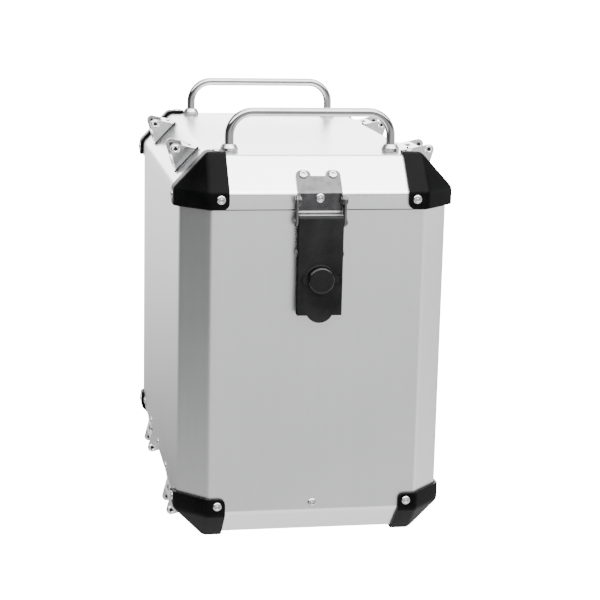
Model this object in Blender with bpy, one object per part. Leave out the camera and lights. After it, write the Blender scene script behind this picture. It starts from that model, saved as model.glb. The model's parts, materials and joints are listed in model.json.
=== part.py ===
"""A lidded aluminium side case for a motorcycle, as an assembly of its separate pieces.

Units are metres and +Z is up. The origin is under the middle of the case, on the plane of its four
moulded feet. The two narrow ends face -Y and +Y, the outer side faces -X and the bike side faces +X.
"""

import math

import bmesh
import bpy
from mathutils import Matrix, Vector

MM = 0.001

# Case: a box whose twelve edges are all chamfered
CASE_WIDTH = 240 * MM
CASE_LENGTH = 400 * MM
CASE_BASE_Z = 3 * MM
SEAM_Z = 304 * MM
CHAMFER = 25.5 * MM
SHEET = 1.5 * MM
BEND_RADIUS = 2.5 * MM
BEND_STEPS = 2
GAP = 0.3 * MM
CLEAR = 30 * MM
OVERCUT = 10 * MM
SEGMENTS = 16
FINE_SEGMENTS = 32

# Lid
LID_OVERHANG = 2 * MM
LID_SKIRT = 14.5 * MM
LID_TOP_Z = 348 * MM

# Rim frame and seal
RIM_DEPTH = 18 * MM
RIM_INNER = 6.5 * MM
RIM_LIP_OUTER = 4.5 * MM
RIM_LIP_RISE = 3.5 * MM
SEAL_HEIGHT = 3 * MM

# Moulded corner caps
CAP_THICKNESS = 2.7 * MM
CAP_REACH = 15.5 * MM
CAP_TAB_RADIUS = 5.5 * MM

# Carrying handles, bent from round rod, with turned collars and nuts
ROD_RADIUS = 4 * MM
HANDLE_HALF_SPAN = 73 * MM
HANDLE_Y = 150 * MM
HANDLE_TOP_Z = 383 * MM
HANDLE_BEND = 21 * MM
ROD_BORE = ROD_RADIUS + GAP
COLLAR_RADIUS = 8 * MM
COLLAR_NECK = 5.6 * MM
COLLAR_HEIGHT = 6.6 * MM
COLLAR_BAND = 3.6 * MM
COLLAR_SEGMENTS = 24
NUT_RADIUS = 7 * MM
NUT_HEIGHT = 5 * MM
ROD_TAIL = 8 * MM

# Lashing brackets: a tent of sheet with two eyelet cheeks
BRACKET_SHEET = 1.5 * MM
BRACKET_LENGTH = 42 * MM
BRACKET_HALF_BASE = 14.4 * MM
BRACKET_EYE_HEIGHT = 15.2 * MM
BRACKET_LOBE = 4.6 * MM
BRACKET_EYE = 1.9 * MM
BRACKET_FOOT = 10 * MM
BRACKET_CHEEK_LIFT = 2.2 * MM
BRACKET_RIDGE = 10 * MM
BRACKET_SLOT = (14 * MM, 3.6 * MM)
BRACKET_Y = (-118.6 * MM, 79.4 * MM)
LID_BRACKET_SHIFT = 3.2 * MM
LOW_BRACKET_SHIFT = -1 * MM

# Latches: strike bracket, links, pins, lever, lock
STRIKE_HALF = 20 * MM
STRIKE_BOTTOM_Z = 303.2 * MM
STRIKE_SLOPE = 23 * MM
STRIKE_NOTCH_HALF = 6.5 * MM
STRIKE_NOTCH_DEPTH = 6.2 * MM
STRIKE_EAR_RIVET = (13.1 * MM, 18.2 * MM)
STRIKE_RIVET_Z = 314.5 * MM
STRIKE_FLANGE = 5 * MM
FLANGE_BITE = 0.5 * MM
STRIKE_EAR_RADIUS = 5 * MM
PIN_OUT = 8 * MM
UPPER_PIN_Z = 313 * MM
LOWER_PIN_Z = 294.3 * MM
PIN_RADIUS = 2 * MM
PIN_BORE = PIN_RADIUS + 0.15 * MM
PIN_HEAD_RADIUS = 3.4 * MM
PIN_HEAD = 1.2 * MM
LINK_INNER = 20.3 * MM
LINK_SHEET = 1.8 * MM
LINK_RADIUS = 4.6 * MM
LEVER_HALF = 19.7 * MM
LEVER_BACK = 4 * MM
LEVER_FRONT = 13 * MM
LEVER_TOP_Z = 300.6 * MM
LEVER_BOTTOM_Z = 212.3 * MM
LEVER_ROLL = 4 * MM
LEVER_LIP_RADIUS = 12.4 * MM
LEVER_LIP_DROP = 6.7 * MM
CATCH_PIN_OUT = 7 * MM
CATCH_PIN_Z = 266.5 * MM
LOCK_Z = 244.4 * MM
LOCK_BORE = 9 * MM
BARREL_RADIUS = 8.5 * MM
BARREL_BACK = 5.5 * MM
LOCK_CAP_RADIUS = 11.7 * MM
LOCK_CAP_FLOOR = 13.5 * MM
LOCK_CAP_HEIGHT = 7.5 * MM
LOCK_CAP_EDGE = 2.2 * MM
CAM_HALF = 4 * MM
CAM_DROP = 14 * MM
CAM_RISE = 5 * MM
CAM_THICKNESS = 1.7 * MM
BARREL_PROUD = 0.2 * MM
TAB_RADIUS = 4.5 * MM
TAB_THICKNESS = 2 * MM
NECK_HALF = 3 * MM
NECK_THICKNESS = 1.5 * MM
NECK_END_X = 16.9 * MM
ANCHOR_X = 17.4 * MM
ANCHOR_FRONT = LOCK_CAP_FLOOR + NECK_THICKNESS
CAP_HINGE_X = 16.2 * MM
CAP_HINGE_OUT = 14.25 * MM
CATCH_HALF = 15.5 * MM
CATCH_Z = (228 * MM, 284 * MM)
CATCH_EAR_ROOT = 12 * MM
CATCH_EAR_TIP = 5 * MM

# Blind rivets
RIVET_SHANK = 2 * MM
RIVET_HEAD = 4 * MM
RIVET_DOME = 1.3 * MM
RIVET_TAIL = 3.2 * MM
RIVET_HOLE_REACH = 6 * MM
RIVET_SEGMENTS = 12
WALL_RIVET_Z = 36.5 * MM

HALF_X = CASE_WIDTH / 2
HALF_Y = CASE_LENGTH / 2
LID_BOTTOM_Z = SEAM_Z + GAP
LID_SKIRT_Z = SEAM_Z + LID_SKIRT
SLOPE_RUN = CHAMFER + LID_OVERHANG
SLOPE_RISE = LID_TOP_Z - LID_SKIRT_Z
SLOPE = math.hypot(SLOPE_RUN, SLOPE_RISE)
SLOPE_OUT = SLOPE_RISE / SLOPE
SLOPE_UP = SLOPE_RUN / SLOPE

FINISHES = {
    "aluminium": ((0.76, 0.77, 0.78, 1), 0.34, 1.0),
    "stainless": ((0.66, 0.66, 0.66, 1), 0.22, 1.0),
    "zinc_plate": ((0.52, 0.52, 0.53, 1), 0.32, 1.0),
    "black_plastic": ((0.018, 0.018, 0.019, 1), 0.42, 0.0),
    "black_coat": ((0.026, 0.026, 0.028, 1), 0.46, 0.0),
    "rubber": ((0.012, 0.012, 0.012, 1), 0.7, 0.0),
}


def clear_scene():
    for obj in list(bpy.data.objects):
        bpy.data.objects.remove(obj, do_unlink=True)


def finish(name):
    """The named finish, made once and shared by the pieces that have it."""
    if name in bpy.data.materials:
        return bpy.data.materials[name]
    color, roughness, metallic = FINISHES[name]
    material = bpy.data.materials.new(name)
    material.use_nodes = True
    shader = material.node_tree.nodes["Principled BSDF"]
    shader.inputs["Base Color"].default_value = color
    shader.inputs["Roughness"].default_value = roughness
    shader.inputs["Metallic"].default_value = metallic
    return material


def axis_empty(name, place, parent=None):
    """An empty on a joint's axis, which the moving pieces hang from."""
    empty = bpy.data.objects.new(name, None)
    empty.empty_display_size = 10 * MM
    bpy.context.scene.collection.objects.link(empty)
    hang(empty, parent)
    empty.matrix_world = Matrix.Translation(place)
    bpy.context.view_layer.update()
    return empty


def hang(obj, parent):
    """Parents obj without moving it."""
    if parent is not None:
        obj.parent = parent
        obj.matrix_parent_inverse = parent.matrix_world.inverted()


def solid(name, bm, finish_name, parent=None):
    """Turns a bmesh into a named object with outward faces and smooth round sides."""
    bmesh.ops.recalc_face_normals(bm, faces=bm.faces)
    mesh = bpy.data.meshes.new(name)
    bm.to_mesh(mesh)
    bm.free()
    mesh.shade_smooth()
    mesh.set_sharp_from_angle(angle=math.radians(35))
    mesh.materials.append(finish(finish_name))
    obj = bpy.data.objects.new(name, mesh)
    bpy.context.scene.collection.objects.link(obj)
    hang(obj, parent)
    return obj


def combine(target, operation, bm):
    """Adds the bmesh to target, cuts it away, or keeps what both share."""
    tool = solid(f"{target.name}.tool{len(target.modifiers)}", bm, "aluminium", target.parent)
    tool.hide_render = True
    tool.display_type = "WIRE"
    modifier = target.modifiers.new(operation.lower(), "BOOLEAN")
    modifier.operation = operation
    modifier.object = tool


def outline_at(half_x, half_y, corner):
    """The corners of a rectangle with 45 degree chamfers, or of a plain one when corner is 0."""
    if corner == 0:
        return [(-half_x, -half_y), (half_x, -half_y), (half_x, half_y), (-half_x, half_y)]
    points = []
    for sx, sy in ((-1, -1), (1, -1), (1, 1), (-1, 1)):
        ends = [(sx * half_x, sy * (half_y - corner)), (sx * (half_x - corner), sy * half_y)]
        points += ends if sx == sy else ends[::-1]
    return points


def hull(rings, radius=0.0):
    """The convex solid through rings of (half x, half y, corner, z), with its bends rounded.

    The rings at the lowest and highest z stay sharp where they have a chamfered outline.
    """
    bm = bmesh.new()
    for half_x, half_y, corner, z in rings:
        for x, y in outline_at(half_x, half_y, corner):
            bm.verts.new((x, y, z))
    bmesh.ops.convex_hull(bm, input=bm.verts)
    bmesh.ops.dissolve_limit(bm, angle_limit=math.radians(1), verts=bm.verts, edges=bm.edges)
    if radius:
        cut_levels = [z for _, _, corner, z in (rings[0], rings[-1]) if corner]
        bends = [edge for edge in bm.edges if not lies_at(edge, cut_levels)]
        round_edges(bm, bends, radius, BEND_STEPS)
    return bm


def round_edges(bm, edges, radius, steps):
    bmesh.ops.bevel(bm, geom=edges, offset=radius, segments=steps, profile=0.5, affect="EDGES")


def lies_at(edge, levels):
    return any(all(abs(vert.co.z - z) < 1e-6 for vert in edge.verts) for z in levels)


def body_rings(offset, top_z):
    """The case body's surface moved inwards by offset, from its flat bottom up to top_z."""
    flat = offset * (math.sqrt(2) - 1)
    half_x = HALF_X - offset
    half_y = HALF_Y - offset
    corner = CHAMFER - offset * (2 - math.sqrt(2))
    bend_z = CASE_BASE_Z + CHAMFER + flat
    return [
        (HALF_X - CHAMFER - flat, HALF_Y - CHAMFER - flat, 0, CASE_BASE_Z + offset),
        (half_x, half_y, corner, bend_z),
        (half_x, half_y, corner, top_z),
    ]


def lid_rings(offset, low_z):
    """The lid's surface moved inwards by offset, from low_z up to its flat top."""
    half_x = HALF_X + LID_OVERHANG - offset
    half_y = HALF_Y + LID_OVERHANG - offset
    corner = CHAMFER + (LID_OVERHANG - offset) * (2 - math.sqrt(2))
    bend_z = LID_SKIRT_Z - offset * (1 - SLOPE_OUT) / SLOPE_UP
    flat = CHAMFER + offset * (1 - SLOPE_UP) / SLOPE_OUT
    return [
        (half_x, half_y, corner, low_z),
        (half_x, half_y, corner, bend_z),
        (HALF_X - flat, HALF_Y - flat, 0, LID_TOP_Z - offset),
    ]


def ring_prism(offset, low_z, high_z):
    """A straight prism with the body's outline moved inwards by offset."""
    half_x, half_y, corner, _ = body_rings(offset, high_z)[-1]
    return hull([(half_x, half_y, corner, low_z), (half_x, half_y, corner, high_z)])


def prism(outline, depth):
    """The solid swept by a flat outline of 3-D points along depth."""
    bm = bmesh.new()
    near = [bm.verts.new(point) for point in outline]
    far = [bm.verts.new(point + depth) for point in outline]
    bm.faces.new(near)
    bm.faces.new(far)
    for i, vert in enumerate(near):
        j = (i + 1) % len(near)
        bm.faces.new((vert, near[j], far[j], far[i]))
    return bm


def block(low, high):
    low = Vector(low)
    high = Vector(high)
    base = [(low.x, low.y), (high.x, low.y), (high.x, high.y), (low.x, high.y)]
    return prism([Vector((x, y, low.z)) for x, y in base], Vector((0, 0, high.z - low.z)))


def turned(profile, place, segments=SEGMENTS, ring=False):
    """A turned solid: (radius, height) points about the local Z axis, then moved by place."""
    bm = bmesh.new()
    loops = []
    for radius, height in profile:
        if radius == 0:
            loops.append([bm.verts.new((0, 0, height))] * segments)
            continue
        angles = [2 * math.pi * i / segments for i in range(segments)]
        loops.append([bm.verts.new((radius * math.cos(a), radius * math.sin(a), height)) for a in angles])
    following = loops[1:] + loops[:1] if ring else loops[1:]
    for lower, upper in zip(loops, following):
        for i in range(segments):
            j = (i + 1) % segments
            corners = dict.fromkeys((lower[i], lower[j], upper[j], upper[i]))
            bm.faces.new(list(corners))
    bm.transform(place)
    return bm


def rod(radius, start, end, segments=SEGMENTS):
    """A plain round cylinder from start to end."""
    start = Vector(start)
    along = Vector(end) - start
    profile = [(0, 0), (radius, 0), (radius, along.length), (0, along.length)]
    return turned(profile, facing(start, along), segments)


def facing(place, direction):
    """The matrix that moves the local origin to place and turns local Z to direction."""
    turn = Vector(direction).to_track_quat("Z", "Y").to_matrix().to_4x4()
    return Matrix.Translation(place) @ turn


def arc(center, radius, start_deg, end_deg, steps):
    """Points of a flat arc, both ends included, as (first, second) coordinates."""
    points = []
    for i in range(steps + 1):
        angle = math.radians(start_deg + (end_deg - start_deg) * i / steps)
        points.append((center[0] + radius * math.cos(angle), center[1] + radius * math.sin(angle)))
    return points


def body_shell():
    """The case body: walls, sloped lower edges and bottom in one formed shell."""
    body = solid("body_shell", hull(body_rings(0, SEAM_Z), BEND_RADIUS), "aluminium")
    above = SEAM_Z + OVERCUT
    combine(body, "DIFFERENCE", hull(body_rings(SHEET, above), BEND_RADIUS - SHEET))
    for side in (-1, 1):
        wall = Vector((0, side * HALF_Y, WALL_RIVET_Z))
        combine(body, "DIFFERENCE", rivet_hole(wall, Vector((0, side, 0))))


def rim():
    """The stiffening frame inside the body's top edge, whose lip locates the lid."""
    low_z = SEAM_Z - RIM_DEPTH
    step_z = SEAM_Z - GAP
    lip_z = SEAM_Z + RIM_LIP_RISE
    frame = solid("rim_frame", ring_prism(SHEET + GAP, low_z, step_z), "aluminium")
    combine(frame, "UNION", ring_prism(RIM_LIP_OUTER, low_z + GAP, lip_z))
    combine(frame, "DIFFERENCE", ring_prism(RIM_INNER, low_z - GAP, lip_z + GAP))


def lid_shell(parent):
    """The lid: skirt, slopes and flat top in one formed shell, drilled for the handles."""
    lid = solid("lid_shell", hull(lid_rings(0, LID_BOTTOM_Z), BEND_RADIUS), "aluminium", parent)
    below = LID_BOTTOM_Z - OVERCUT
    combine(lid, "DIFFERENCE", hull(lid_rings(SHEET, below), BEND_RADIUS - SHEET))
    for x, y in handle_feet():
        ends = [(x, y, LID_TOP_Z + dz) for dz in (-OVERCUT, OVERCUT)]
        combine(lid, "DIFFERENCE", rod(ROD_BORE, *ends))
    for turn in (0, math.pi):
        for place, out in strike_rivets(turn):
            combine(lid, "DIFFERENCE", rivet_hole(place, out))


def lid_seal(parent):
    """The rubber ring under the lid that closes on the rim frame's lip."""
    low_z = SEAM_Z + RIM_LIP_RISE + GAP
    high_z = low_z + SEAL_HEIGHT
    outer = -LID_OVERHANG + SHEET + GAP
    seal = solid("lid_seal", ring_prism(outer, low_z, high_z), "rubber", parent)
    inner = RIM_INNER + GAP
    combine(seal, "DIFFERENCE", ring_prism(inner, low_z - GAP, high_z + GAP))


def corner_caps(lid_parent):
    """Eight moulded caps: one over each corner of the body's bottom and of the lid."""
    inner = -GAP
    outer = -GAP - CAP_THICKNESS
    body_top = CASE_BASE_Z + CHAMFER + LID_SKIRT
    for end, sy in (("front", -1), ("rear", 1)):
        for side, sx in (("outer", -1), ("bike", 1)):
            stock = hull(body_rings(outer, SEAM_Z), BEND_RADIUS)
            cap = solid(f"bottom_cap_{end}_{side}", stock, "black_plastic")
            combine(cap, "INTERSECT", corner_block(sx, sy, -CLEAR, body_top))
            combine(cap, "DIFFERENCE", hull(body_rings(inner, SEAM_Z), BEND_RADIUS))
            stock = hull(lid_rings(outer, LID_BOTTOM_Z - OVERCUT), BEND_RADIUS)
            cap = solid(f"lid_cap_{end}_{side}", stock, "black_plastic", lid_parent)
            combine(cap, "INTERSECT", corner_block(sx, sy, LID_TOP_Z + CLEAR, LID_BOTTOM_Z))
            combine(cap, "DIFFERENCE", hull(lid_rings(inner, LID_BOTTOM_Z - CLEAR), BEND_RADIUS))


def corner_block(sx, sy, beyond_z, edge_z):
    """The room of one corner cap: a block whose three inner edges give its tabs round corners."""
    inside_x = sx * (HALF_X - CHAMFER - CAP_REACH)
    inside_y = sy * (HALF_Y - CHAMFER - CAP_REACH)
    outside_x = sx * (HALF_X + CLEAR)
    outside_y = sy * (HALF_Y + CLEAR)
    bm = block((inside_x, inside_y, edge_z), (outside_x, outside_y, beyond_z))
    round_edges(bm, bm.edges, CAP_TAB_RADIUS, 4)
    return bm


def handle_feet():
    return [(sx * HANDLE_HALF_SPAN, sy * HANDLE_Y) for sy in (-1, 1) for sx in (-1, 1)]


def handle_rod(name, y, parent):
    """A rod bent into a low arch, with both ends through the lid."""
    foot_z = LID_TOP_Z - SHEET - ROD_TAIL
    bend_x = HANDLE_HALF_SPAN - HANDLE_BEND
    bend_z = HANDLE_TOP_Z - HANDLE_BEND
    half = [(HANDLE_HALF_SPAN, foot_z)] + arc((bend_x, bend_z), HANDLE_BEND, 0, 90, 8)
    path = half + [(-x, z) for x, z in reversed(half)]
    curve = bpy.data.curves.new(name, "CURVE")
    curve.dimensions = "3D"
    curve.bevel_depth = ROD_RADIUS
    curve.bevel_resolution = 4
    curve.use_fill_caps = True
    spline = curve.splines.new("POLY")
    spline.points.add(len(path) - 1)
    for point, (x, z) in zip(spline.points, path):
        point.co = (x, y, z, 1)
    curve.materials.append(finish("stainless"))
    handle = bpy.data.objects.new(name, curve)
    bpy.context.scene.collection.objects.link(handle)
    hang(handle, parent)


def handles(parent):
    """Two carrying handles across the lid, each with a collar and a nut at either foot."""
    for end, y in (("front", -HANDLE_Y), ("rear", HANDLE_Y)):
        handle_rod(f"{end}_handle", y, parent)
        for side, x in (("outer", -HANDLE_HALF_SPAN), ("bike", HANDLE_HALF_SPAN)):
            base_z = LID_TOP_Z + GAP
            collar = [
                (ROD_BORE, 0),
                (COLLAR_RADIUS, 0),
                (COLLAR_RADIUS, COLLAR_BAND),
                (COLLAR_NECK, COLLAR_HEIGHT),
                (ROD_BORE, COLLAR_HEIGHT),
            ]
            place = Matrix.Translation((x, y, base_z))
            bm = turned(collar, place, COLLAR_SEGMENTS, ring=True)
            solid(f"{end}_collar_{side}", bm, "stainless", parent)
            nut_z = LID_TOP_Z - SHEET - GAP - NUT_HEIGHT
            place = Matrix.Translation((x, y, nut_z))
            nut = solid(
                f"{end}_handle_nut_{side}",
                turned([(0, 0), (NUT_RADIUS, 0), (NUT_RADIUS, NUT_HEIGHT), (0, NUT_HEIGHT)], place, 6),
                "stainless",
                parent,
            )
            bore = rod(ROD_BORE, (x, y, nut_z - MM), (x, y, nut_z + NUT_HEIGHT + MM))
            combine(nut, "DIFFERENCE", bore)


def bracket_outline(inset, floor):
    """The cheek's rounded triangle as (along, off the face) points, moved inwards by inset."""
    base_angle = -math.atan2(BRACKET_EYE_HEIGHT, BRACKET_HALF_BASE)
    reach = math.hypot(BRACKET_EYE_HEIGHT, BRACKET_HALF_BASE)
    tangent = base_angle + math.acos(BRACKET_LOBE / reach)
    radius = BRACKET_LOBE - inset
    foot = (radius + (BRACKET_EYE_HEIGHT - floor) * math.sin(tangent)) / math.cos(tangent)
    start = math.degrees(tangent)
    lobe = arc((0, BRACKET_EYE_HEIGHT), radius, start, 180 - start, 10)
    return [(-foot, floor), (foot, floor)] + lobe


def lashing_bracket(name, middle, up_face, outward, y, parent=None):
    """A tent of sheet on a sloped face: two eyelet cheeks, two webs with slots, two feet."""
    along_y = Vector((0, 1, 0))

    def place(along, off, dy=0.0):
        return middle + up_face * along + outward * off + along_y * (y + dy)

    def slab(outline, start, end):
        return prism([place(a, n, start) for a, n in outline], along_y * (end - start))

    def bar(half, low, high, start, end):
        return slab([(-half, low), (half, low), (half, high), (-half, high)], start, end)

    cheeks = slab(bracket_outline(0, GAP), 0, BRACKET_LENGTH)
    bracket = solid(name, cheeks, "stainless", parent)
    ends = [place(0, BRACKET_EYE_HEIGHT, dy) for dy in (-MM, BRACKET_LENGTH + MM)]
    combine(bracket, "DIFFERENCE", rod(BRACKET_EYE, *ends))
    inside = slab(bracket_outline(BRACKET_SHEET, -MM), BRACKET_SHEET, BRACKET_LENGTH - BRACKET_SHEET)
    combine(bracket, "DIFFERENCE", inside)
    wide = BRACKET_HALF_BASE
    above = bar(wide, BRACKET_RIDGE, 2 * wide, BRACKET_SHEET, BRACKET_LENGTH - BRACKET_SHEET)
    combine(bracket, "DIFFERENCE", above)
    under_cheek = bar(2 * wide, -MM, BRACKET_CHEEK_LIFT, -MM, BRACKET_SHEET + GAP)
    combine(bracket, "DIFFERENCE", under_cheek)
    slot_length, slot_width = BRACKET_SLOT
    low = (BRACKET_RIDGE - slot_width) / 2
    start = (BRACKET_LENGTH - slot_length) / 2
    combine(bracket, "DIFFERENCE", bar(wide, low, low + slot_width, start, start + slot_length))
    sole = GAP + BRACKET_SHEET
    edge = wide - MM
    combine(bracket, "UNION", bar(edge, GAP, sole, BRACKET_LENGTH - MM, BRACKET_LENGTH + BRACKET_FOOT))


def lashing_brackets(lid_parent):
    """Four brackets on the lid's long slopes and two on the body's lower outer slope."""
    for end, y in zip(("front", "rear"), BRACKET_Y):
        for side, sx in (("outer", -1), ("bike", 1)):
            middle_x = sx * (HALF_X + LID_OVERHANG - SLOPE_RUN / 2)
            middle = Vector((middle_x, 0, (LID_SKIRT_Z + LID_TOP_Z) / 2))
            up_face = Vector((-sx * SLOPE_UP, 0, SLOPE_OUT))
            outward = Vector((sx * SLOPE_OUT, 0, SLOPE_UP))
            middle += up_face * LID_BRACKET_SHIFT
            lashing_bracket(f"lid_bracket_{end}_{side}", middle, up_face, outward, y, lid_parent)
        half = math.sqrt(0.5)
        middle = Vector((-HALF_X + CHAMFER / 2, 0, CASE_BASE_Z + CHAMFER / 2))
        down_face = Vector((half, 0, -half))
        outward = Vector((-half, 0, -half))
        middle += down_face * LOW_BRACKET_SHIFT
        lashing_bracket(f"lower_bracket_{end}", middle, down_face, outward, y)


def rivet_hole(place, out):
    reach = out * RIVET_HOLE_REACH
    return rod(RIVET_SHANK + GAP, place - reach, place + reach, RIVET_SEGMENTS)


def rivet(name, place, out, grip, parent=None):
    """A blind rivet: place is under its head, and grip is what it goes through."""
    tail = -grip - 2 * GAP
    profile = [
        (0, tail - RIVET_TAIL),
        (RIVET_TAIL, tail - RIVET_TAIL * 0.6),
        (RIVET_TAIL, tail),
        (RIVET_SHANK, tail),
        (RIVET_SHANK, 0),
        (RIVET_HEAD, 0),
        (RIVET_HEAD * 0.94, RIVET_DOME * 0.45),
        (RIVET_HEAD * 0.7, RIVET_DOME * 0.9),
        (RIVET_HEAD * 0.45, RIVET_DOME),
        (RIVET_HEAD * 0.4, RIVET_DOME * 0.7),
        (0, RIVET_DOME * 0.7),
    ]
    solid(name, turned(profile, facing(place, out), RIVET_SEGMENTS), "stainless", parent)


def strike_rivets(turn):
    """Where the strike bracket's rivets meet the lid's outer surface, each with its direction."""
    x, up = STRIKE_EAR_RIVET
    out = Vector((0, -SLOPE_OUT, SLOPE_UP))
    bend = Vector((0, -HALF_Y - LID_OVERHANG, LID_SKIRT_Z))
    ear = bend + Vector((0, SLOPE_UP, SLOPE_OUT)) * up
    middle = Vector((0, -HALF_Y - LID_OVERHANG, STRIKE_RIVET_Z))
    found = [(ear + Vector((-x, 0, 0)), out), (ear + Vector((x, 0, 0)), out), (middle, Vector((0, -1, 0)))]
    spin = Matrix.Rotation(turn, 3, "Z")
    return [(spin @ place, spin @ direction) for place, direction in found]


def latch_point(x, out, z):
    """A point of the front latch: out is measured from the case's end wall."""
    return Vector((x, -HALF_Y - out, z))


def side_plate(outline, x_low, x_high):
    """A flat plate across X whose outline is (out, z) points."""
    return prism([latch_point(x_low, out, z) for out, z in outline], Vector((x_high - x_low, 0, 0)))


def strike_bracket(end, turn, parent):
    """The bent plate on the lid that carries the latch, with an ear at either top corner."""
    name = f"{end}_strike_bracket"
    inner = LID_OVERHANG + GAP
    outer = inner + SHEET
    bend = (1 - SLOPE_OUT) / SLOPE_UP

    def on_slope(offset, up):
        return (
            LID_OVERHANG + offset * SLOPE_OUT - up * SLOPE_UP,
            LID_SKIRT_Z + offset * SLOPE_UP + up * SLOPE_OUT,
        )

    profile = [
        (inner, STRIKE_BOTTOM_Z),
        (outer, STRIKE_BOTTOM_Z),
        (outer, LID_SKIRT_Z + (GAP + SHEET) * bend),
        on_slope(GAP + SHEET, STRIKE_SLOPE + MM),
        on_slope(GAP, STRIKE_SLOPE + MM),
        (inner, LID_SKIRT_Z + GAP * bend),
    ]
    spin = Matrix.Rotation(turn, 4, "Z")

    def spun(bm):
        bm.transform(spin)
        return bm

    stock = side_plate(profile, -STRIKE_HALF - MM, STRIKE_HALF + MM)
    plate = solid(name, spun(stock), "zinc_plate", parent)
    notch_up = STRIKE_SLOPE - STRIKE_NOTCH_DEPTH
    ear = STRIKE_EAR_RADIUS
    wide = STRIKE_HALF - GAP
    trim = [(-wide, -CLEAR), (wide, -CLEAR)]
    trim += arc((wide - ear, STRIKE_SLOPE - ear), ear, 0, 90, 4)
    trim += arc((STRIKE_NOTCH_HALF + ear, STRIKE_SLOPE - ear), ear, 90, 150, 3)
    trim += [(STRIKE_NOTCH_HALF, notch_up), (-STRIKE_NOTCH_HALF, notch_up)]
    trim += arc((-STRIKE_NOTCH_HALF - ear, STRIKE_SLOPE - ear), ear, 30, 90, 3)
    trim += arc((-wide + ear, STRIKE_SLOPE - ear), ear, 90, 180, 4)
    outward = Vector((0, -SLOPE_OUT, SLOPE_UP))
    deep = []
    for x, up in trim:
        out, z = on_slope(-CLEAR, up)
        deep.append(latch_point(x, out, z))
    combine(plate, "INTERSECT", spun(prism(deep, outward * 2 * CLEAR)))
    for side, (place, out) in zip(("left", "right", "middle"), strike_rivets(turn)):
        combine(plate, "DIFFERENCE", rivet_hole(place, out))
        head = place + out * (SHEET + 2 * GAP)
        rivet(f"{end}_strike_rivet_{side}", head, out, 2 * SHEET + GAP, parent)
    for x_low, x_high in ((-STRIKE_HALF, -STRIKE_HALF + SHEET), (STRIKE_HALF - SHEET, STRIKE_HALF)):
        flange = [(inner + FLANGE_BITE, STRIKE_BOTTOM_Z + MM)]
        flange += arc((PIN_OUT, UPPER_PIN_Z), STRIKE_FLANGE, -75, 75, 8)
        flange += [(inner + FLANGE_BITE, LID_SKIRT_Z)]
        combine(plate, "UNION", spun(side_plate(flange, x_low, x_high)))
    bore_ends = [latch_point(sx * (STRIKE_HALF + MM), PIN_OUT, UPPER_PIN_Z) for sx in (-1, 1)]
    combine(plate, "DIFFERENCE", spun(rod(PIN_BORE, *bore_ends)))


def latch_links(end, turn, parent):
    """Two flat links outside the strike bracket and the lever, with their upper and lower pins."""
    spin = Matrix.Rotation(turn, 4, "Z")
    outline = arc((PIN_OUT, UPPER_PIN_Z), LINK_RADIUS, 0, 180, 8)
    outline += arc((PIN_OUT, LOWER_PIN_Z), LINK_RADIUS, 180, 360, 8)
    link_outer = LINK_INNER + LINK_SHEET
    for side, sx in (("left", -1), ("right", 1)):
        bm = side_plate(outline, sx * LINK_INNER, sx * link_outer)
        bm.transform(spin)
        link = solid(f"{end}_link_{side}", bm, "zinc_plate", parent)
        for z in (UPPER_PIN_Z, LOWER_PIN_Z):
            ends = [latch_point(sx * x, PIN_OUT, z) for x in (LINK_INNER - MM, link_outer + MM)]
            bore = rod(PIN_BORE, *ends)
            bore.transform(spin)
            combine(link, "DIFFERENCE", bore)
        inside = STRIKE_HALF - SHEET - GAP - PIN_HEAD
        start = latch_point(sx * inside, PIN_OUT, UPPER_PIN_Z)
        length = link_outer + GAP + PIN_HEAD - inside
        bm = turned(headed_pin(length), facing(start, (sx, 0, 0)))
        bm.transform(spin)
        solid(f"{end}_upper_pin_{side}", bm, "stainless", parent)
    half = link_outer + GAP + PIN_HEAD
    bm = turned(headed_pin(2 * half), facing(latch_point(-half, PIN_OUT, LOWER_PIN_Z), (1, 0, 0)))
    bm.transform(spin)
    solid(f"{end}_lower_pin", bm, "stainless", parent)


def headed_pin(length):
    """A pin's profile with a head at either end."""
    return [
        (0, 0),
        (PIN_HEAD_RADIUS, 0),
        (PIN_HEAD_RADIUS, PIN_HEAD),
        (PIN_RADIUS, PIN_HEAD),
        (PIN_RADIUS, length - PIN_HEAD),
        (PIN_HEAD_RADIUS, length - PIN_HEAD),
        (PIN_HEAD_RADIUS, length),
        (0, length),
    ]


def lever_front():
    """The lever seen from the front as (x, z) points, with room to spare beside and above it."""
    lip_z = LEVER_BOTTOM_Z - LEVER_LIP_DROP + LEVER_LIP_RADIUS
    spread = math.degrees(math.acos(1 - LEVER_LIP_DROP / LEVER_LIP_RADIUS))
    lip = arc((0, lip_z), LEVER_LIP_RADIUS, -90 - spread, -90 + spread, 12)
    wide = LEVER_HALF + MM
    high = LEVER_TOP_Z + MM
    return lip + [(wide, LEVER_BOTTOM_Z), (wide, high), (-wide, high), (-wide, LEVER_BOTTOM_Z)]


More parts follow.
